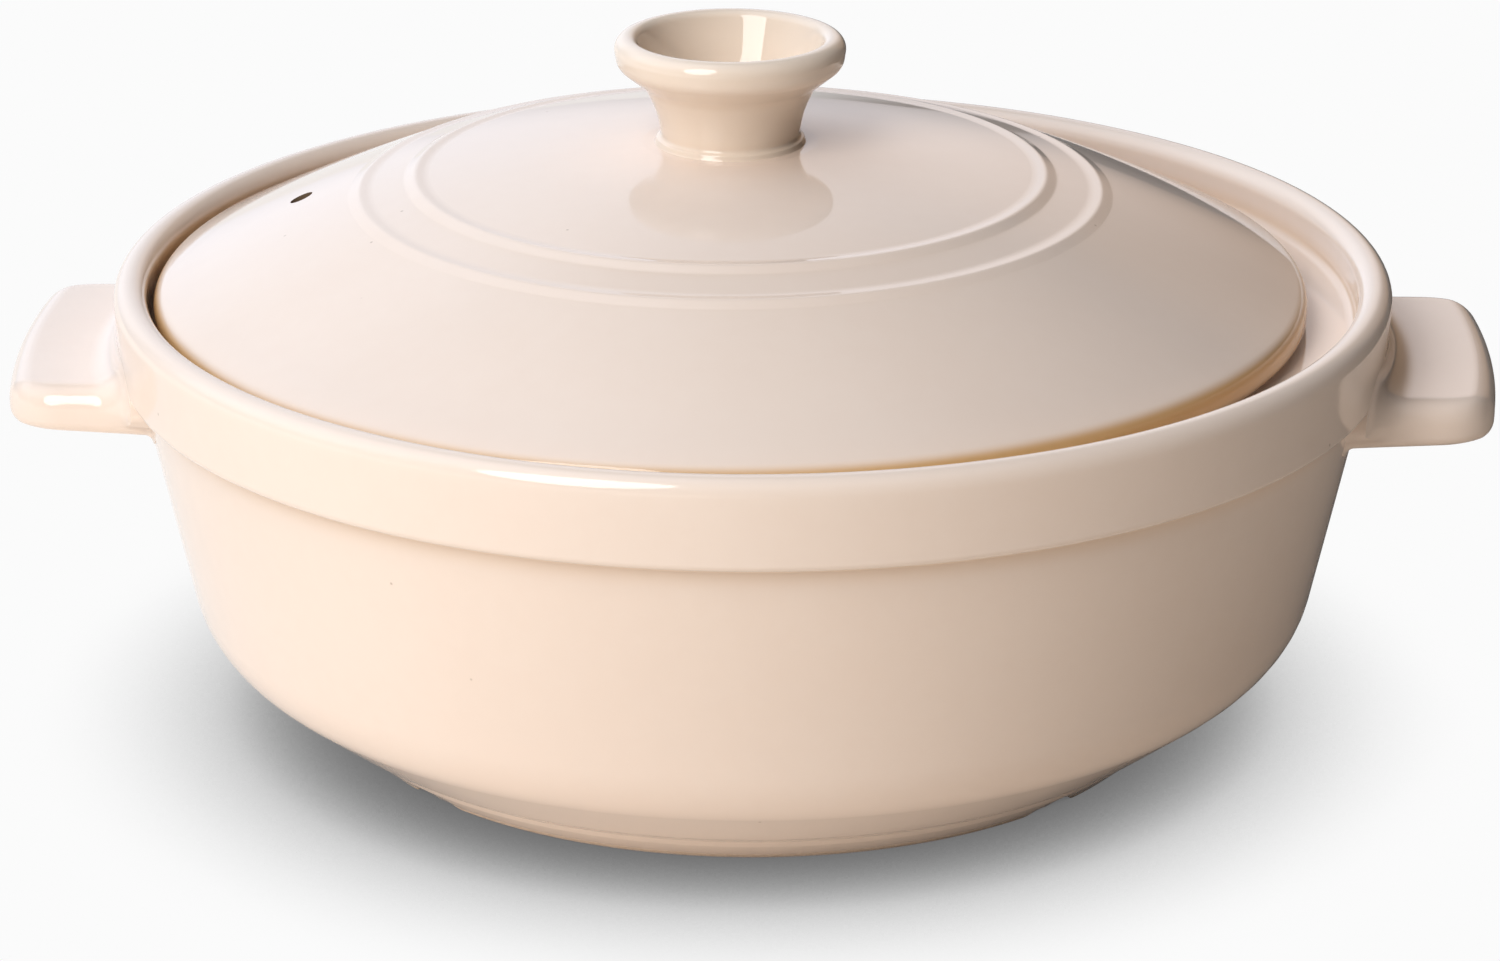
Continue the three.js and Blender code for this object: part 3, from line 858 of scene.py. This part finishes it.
def knob_corners():
    """The knob's profile: under its base, over the bead, up the neck to the rim, and into the cup."""
    return [
        (0, knob_base),
        (bead_radius + bead_skirt, knob_base, bead_skirt / 4),
        (bead_radius, knob_foot, bead_skirt),
        (bead_radius - bead_skirt / 2, knob_foot + bead_height, bead_height / 2),
        (neck_radius, knob_foot + bead_height + bead_skirt, bead_height),
        (waist_radius, knob_foot + waist_height, flare_radius),
        (flare_radius, knob_foot + flare_height, knob_rim_height),
        (knob_rim_radius - knob_rim_round / 4, knob_top - knob_rim_height, knob_rim_round),
        (knob_rim_radius, knob_top, knob_rim_round),
        (knob_rim_radius - knob_lip, knob_top, knob_rim_round * 3 / 4),
        (flare_radius - knob_wall / 2, knob_foot + flare_height, flare_radius),
        (waist_radius - knob_wall, knob_foot + knob_floor, knob_wall),
        (0, knob_foot + knob_floor),
    ]


KNOB_SIDES = 160
KNOB_WOBBLE = 0.2
knob = profile_piece("knob", knob_corners())
run_tree(knob, wheel, {
    "Sides": KNOB_SIDES,
    "Crowds": 1,
    "Crowding": 0.0,
    "Axis": (lid_axis, 0.0, 0.0),
    "Wobble": KNOB_WOBBLE * MM,
    "Seed": 3.0,
    "Finish": warm_glaze,
})
baked(knob)
print("knob:", len(knob.data.polygons), "faces,", round(clay_volume(knob), 1), "cm3 of clay")

# %% [markdown]
# ## The lugs
#
# Each lug is a slab of clay, pressed to the wall under the collar and smoothed in with a wet finger. A
# box with a bevel would meet the bowl in a hard line. Instead rounded rectangles are set one behind another
# from inside the wall to the tip and skinned over: they spread where the lug runs into the bowl, grow a
# little thinner further out, and close in round the tip.

# %% The lugs' sizes
handle_reach = 21.8
handle_splay = 0.04
handle_width = 70.4
handle_thickness = 9.75
handle_rise = 1.25
handle_tip_radius = 235.0
handle_corner_round = 9.0
handle_top_round = 4.6
handle_low_round = 2.2
handle_root_round = 6.0
handle_under_round = 1.6
handle_low_rise = 1.4  # how much thinner the lug is at its tip
root_overlap = 0.03  # how far the smoothed clay reaches into the collar
QUARTER_STEPS = 12
LONG_STEPS = 24


def arc_at(distance, radius):
    """How far an arc has left a straight line, at a distance short of where it meets the line again."""
    run = min(max(radius - distance, 0.0), radius)
    return radius - math.sqrt(radius * radius - run * run)


def lug_section(foot, head):
    """Points round a section. Its foot and its head are each a height, a half width and a rounding."""
    fit = min(1.0, (head[0] - foot[0]) / (head[2] + foot[2]))
    points = []
    for side, (edge, half, rounding), start in ((1, head, 0.0), (-1, foot, math.pi)):
        round_off = rounding * fit
        inner = half - round_off
        height = edge - side * round_off
        for k in range(QUARTER_STEPS + 1):
            angle = start + math.pi / 2 * k / QUARTER_STEPS
            across = side * inner + round_off * math.cos(angle)
            points.append((across, height + round_off * math.sin(angle)))
        for k in range(1, LONG_STEPS):
            points.append((side * inner * (1 - 2 * k / LONG_STEPS), edge))
        for k in range(QUARTER_STEPS + 1):
            angle = start + math.pi / 2 * (1 + k / QUARTER_STEPS)
            across = -side * inner + round_off * math.cos(angle)
            points.append((across, height + round_off * math.sin(angle)))
    return points


print("lugs in mm:", handle_width, "wide,", handle_thickness, "thick_and_shaded")

# %% [markdown]
# The fired collar is slightly uneven, so a lug can't follow the plain profile. A BVH tree of the baked
# bowl answers where a ray from the lug's side meets it, and the lug's smooth root starts there.

# %% Setting out a lug
root = wall_top_radius - wall_thickness / 2
tip = collar_radius + handle_reach
lug_top = collar_foot + handle_rise
lug_wall = wall_radius_at(lug_top - handle_thickness)
collar_face = collar_radius + collar_flare * (handle_rise + handle_root_round) / collar_height
tip_rounds = (handle_corner_round, handle_top_round, handle_low_round)
bowl_places = [vertex.co for vertex in bowl.data.vertices]
bowl_skin = BVHTree.FromPolygons(bowl_places, [tuple(face.vertices) for face in bowl.data.polygons])


def collar_beside(side, across, height):
    """How far out the fired collar is beside a point of a lug, found by a ray."""
    level = max(height, collar_foot + 2 * collar_edge_round)
    hit = bowl_skin.ray_cast(Vector((side * tip, across, level)) * MM, Vector((-side, 0, 0)))[0]
    return abs(hit.x) / MM - root_overlap


def lug_point(side, reach, across, height):
    """A point of a lug, as if on the +X side. It follows the bowl at the root and an arc at the tip."""
    if reach < collar_face:
        return math.sqrt(reach ** 2 - across ** 2), across, height
    share = (reach - collar_face) / (tip - collar_face)
    near = collar_beside(side, across, height)
    far = tip - handle_tip_radius + math.sqrt(handle_tip_radius ** 2 - across ** 2) + handle_splay * across
    return near + (far - near) * share, across, height


def lug_rings(side):
    """The rings of a lug from inside the wall to the tip, each with how far out it is."""
    reaches = {root, (collar_face + tip) / 2}
    for k in range(QUARTER_STEPS + 1):
        run = 1 - math.cos(math.pi / 2 * k / QUARTER_STEPS)
        reaches |= {lug_wall + handle_under_round * run, collar_face + handle_root_round * run}
        reaches |= {tip - rounding * run for rounding in tip_rounds}
    rings = []
    for reach in sorted(reaches):
        spread = arc_at(reach - collar_face, handle_root_round)
        under = arc_at(reach - lug_wall, handle_under_round)
        rise = handle_low_rise * max(0.0, reach - lug_wall) / (tip - lug_wall)
        high = lug_top + spread - arc_at(tip - reach, handle_top_round)
        low = lug_top - handle_thickness + rise - under + arc_at(tip - reach, handle_low_round)
        half = handle_width / 2 - arc_at(tip - reach, handle_corner_round)
        foot = (low, half + under, handle_low_round + under)
        head = (high, half + spread, handle_top_round + spread)
        ring = [lug_point(side, reach, across, height) for across, height in lug_section(foot, head)]
        rings.append((reach, ring))
    return rings


print("a lug's tip is", round(tip - collar_face, 1), "mm from the collar")

# %% [markdown]
# The rings are joined with four-sided faces. Where a lug enters the wall and the collar, the next faces
# are hidden inside the bowl, and smooth shading would smear across. So those two rings are marked sharp.

# %% Skinning the lugs
def lug(name, side):
    """A lug, skinned over its rings. Side 1 is the right one, and -1 is its mirror image on the left."""
    mesh = bpy.data.meshes.new(name)
    skin = bmesh.new()
    scale = Vector((side * MM, MM, MM))
    rings = lug_rings(side)
    rows = [[skin.verts.new(Vector(point) * scale) for point in ring] for reach, ring in rings]
    for row, after in zip(rows, rows[1:]):
        for k in range(len(row)):
            m = (k + 1) % len(row)
            skin.faces.new((row[k], row[m], after[m], after[k]))
    skin.faces.new(rows[0])
    skin.faces.new(rows[-1])
    for (reach, ring), row in zip(rings, rows):
        if reach in (lug_wall, collar_face):
            for k in range(len(row)):
                skin.edges.get((row[k - 1], row[k])).smooth = False
    bmesh.ops.remove_doubles(skin, verts=skin.verts, dist=MERGE_REACH)
    bmesh.ops.recalc_face_normals(skin, faces=skin.faces)
    skin.to_mesh(mesh)
    skin.free()
    mesh.polygons.foreach_set("use_smooth", [True] * len(mesh.polygons))
    mesh.materials.append(cream_glaze)
    return placed(name, mesh)


right_lug = lug("right_lug", 1)
left_lug = lug("left_lug", -1)
for piece in (right_lug, left_lug):
    print(piece.name, len(piece.data.polygons), "faces,", round(clay_volume(piece), 1), "cm3 of clay")

# %% [markdown]
# ## What moves with what
#
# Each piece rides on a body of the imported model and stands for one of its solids. The bowl and its lugs
# stay still, and the knob goes with the lid.

# %% Riding on the bodies
for piece, body, node, slot in (
    (bowl, "pot", "pot_body", "cream_glaze"),
    (left_lug, "pot", "handle_left", "cream_glaze"),
    (right_lug, "pot", "handle_right", "cream_glaze"),
    (lid, "lid", "lid_dome", "cream_glaze"),
    (knob, "lid", "lid_knob", "warm_glaze"),
):
    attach(piece, body)
    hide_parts(node)
    print(piece.name, "rides on", body)

# %% [markdown]
# ## The camera
#
# The photograph looks down at the pot by about twenty degrees through a long lens. Its focal length in
# pixels, over the picture's width, gives the lens for a sensor of the usual width.

# %% The camera
PHOTO_WIDTH = 1500
FOCAL_PIXELS = 4800
SENSOR_WIDTH = 36.0
camera_place = Vector((28.7, -905.0, 380.5)) * MM
camera_target = Vector((-0.55, 0.0, 44.83)) * MM

camera_data = bpy.data.cameras.new("camera")
camera_data.sensor_fit = "HORIZONTAL"
camera_data.sensor_width = SENSOR_WIDTH
camera_data.lens = FOCAL_PIXELS / PHOTO_WIDTH * SENSOR_WIDTH
camera = placed("camera", camera_data)
camera.location = camera_place
camera.rotation_euler = (camera_target - camera_place).to_track_quat("-Z", "Y").to_euler()
bpy.context.scene.camera = camera
print("lens in mm:", round(camera_data.lens, 1))

# %% [markdown]
# ## Studio
#
# The pot stands on a white sweep of paper, which lights it from below, with a little light through the
# paper itself. A plain white floor would go grey in the distance and take a hard shadow. So the camera
# and reflections see it as white, darker only where Ambient Occlusion finds that the pot shuts out the
# light, and the shadow is soft on both sides.

# %% Floor
FLOOR_SIZE = 8.0
FLOOR_DROP = 0.00005  # keeps the foot's underside out of the floor's plane
SHADOW_REACH = 0.065
SHADOW_RANGE = (0.02, 0.82)  # the share of open sky in full shadow and in none
GLOW_RANGE = (0.05, 0.4)  # the same, where the glow starts and where it is full
SHADOW_WHITE = 0.13
UNDER_WALL_GLOW = 4.5  # in its place, for the light that the wall gets
OPEN_WHITE = 0.965
DIM_RANGE = (-0.15, 0.15)  # from the left of the pot to the right
DIM_SIDE = 0.07  # how bright the paper is on the right
PAPER_GLOW = 0.22  # light that comes through the paper
GLOW_COLOUR = (0.84, 0.94, 1.0, 1.0)
PAPER_COLOUR = (0.92, 0.82, 0.71, 1.0)


def floor_material():
    """Paper that lights the pot, and that the camera and reflections see as white with a soft shadow."""
    material = bpy.data.materials.new("white_sweep")
    material.use_nodes = True
    tree = material.node_tree
    tree.nodes.clear()
    open_sky = add_node(tree, "ShaderNodeAmbientOcclusion", {"Distance": SHADOW_REACH}).outputs["AO"]
    rays = add_node(tree, "ShaderNodeLightPath").outputs
    darkest = remapped(tree, rays["Is Diffuse Ray"], 0.0, 1.0, SHADOW_WHITE, UNDER_WALL_GLOW)
    shade = remapped(tree, open_sky, *SHADOW_RANGE, darkest, OPEN_WHITE)
    place = add_node(tree, "ShaderNodeTexCoord").outputs["Object"]
    across = add_node(tree, "ShaderNodeSeparateXYZ", {0: place}).outputs["X"]
    dimmed = remapped(tree, across, *DIM_RANGE, 1.0, DIM_SIDE)
    fade = reckon(tree, "MAXIMUM", rays["Is Camera Ray"], dimmed)
    white = reckon(tree, "MULTIPLY", shade, fade)
    contact = remapped(tree, open_sky, *GLOW_RANGE, 0.0, PAPER_GLOW)
    seen = add_node(tree, "ShaderNodeEmission", {"Strength": white})
    lamp = {"Color": GLOW_COLOUR, "Strength": reckon(tree, "MULTIPLY", white, contact)}
    glow = add_node(tree, "ShaderNodeEmission", lamp)
    paper = add_node(tree, "ShaderNodeBsdfDiffuse", {"Color": PAPER_COLOUR})
    lit = add_node(tree, "ShaderNodeAddShader", {0: paper.outputs[0], 1: glow.outputs[0]})
    shown = reckon(tree, "MAXIMUM", rays["Is Camera Ray"], rays["Is Glossy Ray"])
    mixed = add_node(tree, "ShaderNodeMixShader", {0: shown, 1: lit.outputs[0], 2: seen.outputs[0]})
    add_node(tree, "ShaderNodeOutputMaterial", {"Surface": mixed.outputs[0]})
    return material


half = FLOOR_SIZE / 2
square = ((-half, -half), (half, -half), (half, half), (-half, half))
floor_mesh = bpy.data.meshes.new("floor")
floor_mesh.from_pydata([(x, y, -FLOOR_DROP) for x, y in square], [], [(0, 1, 2, 3)])
floor_mesh.materials.append(floor_material())
floor = placed("floor", floor_mesh)
print("floor:", FLOOR_SIZE, "m square")

# %% [markdown]
# One tall, oval softbox in front and to the left is the key. Its watts are worked out from how bright its
# face should look: brightness times area times pi.

# %% The key lamp
KEY_AZIMUTH = math.radians(-31)
KEY_ELEVATION = math.radians(36)
KEY_DISTANCE = 1.3
KEY_SIZE = (0.64, 1.15)
KEY_RADIANCE = 6.85


def direction_of(azimuth, elevation):
    """A direction from the pot, by its angle to the right of the front and its angle above the floor."""
    out = math.cos(elevation)
    return Vector((math.sin(azimuth) * out, -math.cos(azimuth) * out, math.sin(elevation)))


key_data = bpy.data.lights.new("key", "AREA")
key_data.shape = "ELLIPSE"
key_data.size, key_data.size_y = KEY_SIZE
key_area = math.pi / 4 * KEY_SIZE[0] * KEY_SIZE[1]
key_data.energy = KEY_RADIANCE * math.pi * key_area
key = placed("key", key_data)
toward = direction_of(KEY_AZIMUTH, KEY_ELEVATION)
key.location = toward * KEY_DISTANCE + Vector((0, 0, pot_high.z / 2))
key.rotation_euler = toward.to_track_quat("Z", "Y").to_euler()
key.visible_camera = False
print("key lamp in W:", round(key_data.energy, 1))

# %% [markdown]
# Glossy glaze mirrors the whole studio, so the rest of it matters as much as the lamp. The world is a few
# soft walls of light: a white one behind, a weak warm one behind on the right, a faint one overhead, and
# two bluish ones on the left. There is none on the right, so that side of the pot falls into shade as it
# does in the photograph. The camera sees plain white.

# %% The walls of the studio
WALLS = (
    # azimuth, elevation, where it is full and where it ends, all in degrees; its light and its colour
    (193, 20, 12, 34, 1.08, (1.00, 0.95, 0.98)),
    (160, 14, 6, 22, 0.45, (1.00, 0.62, 0.35)),
    (0, 75, 15, 45, 0.42, (1.00, 0.97, 0.98)),
    (-100, 50, 15, 45, 1.35, (0.72, 0.83, 1.00)),
    (-140, 15, 15, 45, 0.50, (0.50, 0.74, 1.00)),
)

world = bpy.data.worlds.new("studio")
bpy.context.scene.world = world
world.use_nodes = True
tree = world.node_tree
tree.nodes.clear()
direction = add_node(tree, "ShaderNodeTexCoord").outputs["Generated"]
light = (0, 0, 0)
for azimuth, elevation, core, edge, strength, colour in WALLS:
    middle = direction_of(math.radians(azimuth), math.radians(elevation))
    facing = add_node(tree, "ShaderNodeVectorMath", {0: direction, 1: middle}, operation="DOT_PRODUCT")
    ends = (math.cos(math.radians(edge)), math.cos(math.radians(core)))
    share = remapped(tree, facing.outputs["Value"], *ends, 0.0, strength)
    wall = add_node(tree, "ShaderNodeVectorMath", {0: colour, "Scale": share}, operation="SCALE")
    both = {0: light, 1: wall.outputs[0]}
    light = add_node(tree, "ShaderNodeVectorMath", both, operation="ADD").outputs[0]
rays = add_node(tree, "ShaderNodeLightPath").outputs
colour = mix_colours(tree, rays["Is Camera Ray"], light, (1, 1, 1, 1))
backdrop = add_node(tree, "ShaderNodeBackground", {"Color": colour})
add_node(tree, "ShaderNodeOutputWorld", {"Surface": backdrop.outputs[0]})
bpy.context.scene.view_settings.view_transform = "Standard"
print("walls of light:", len(WALLS))
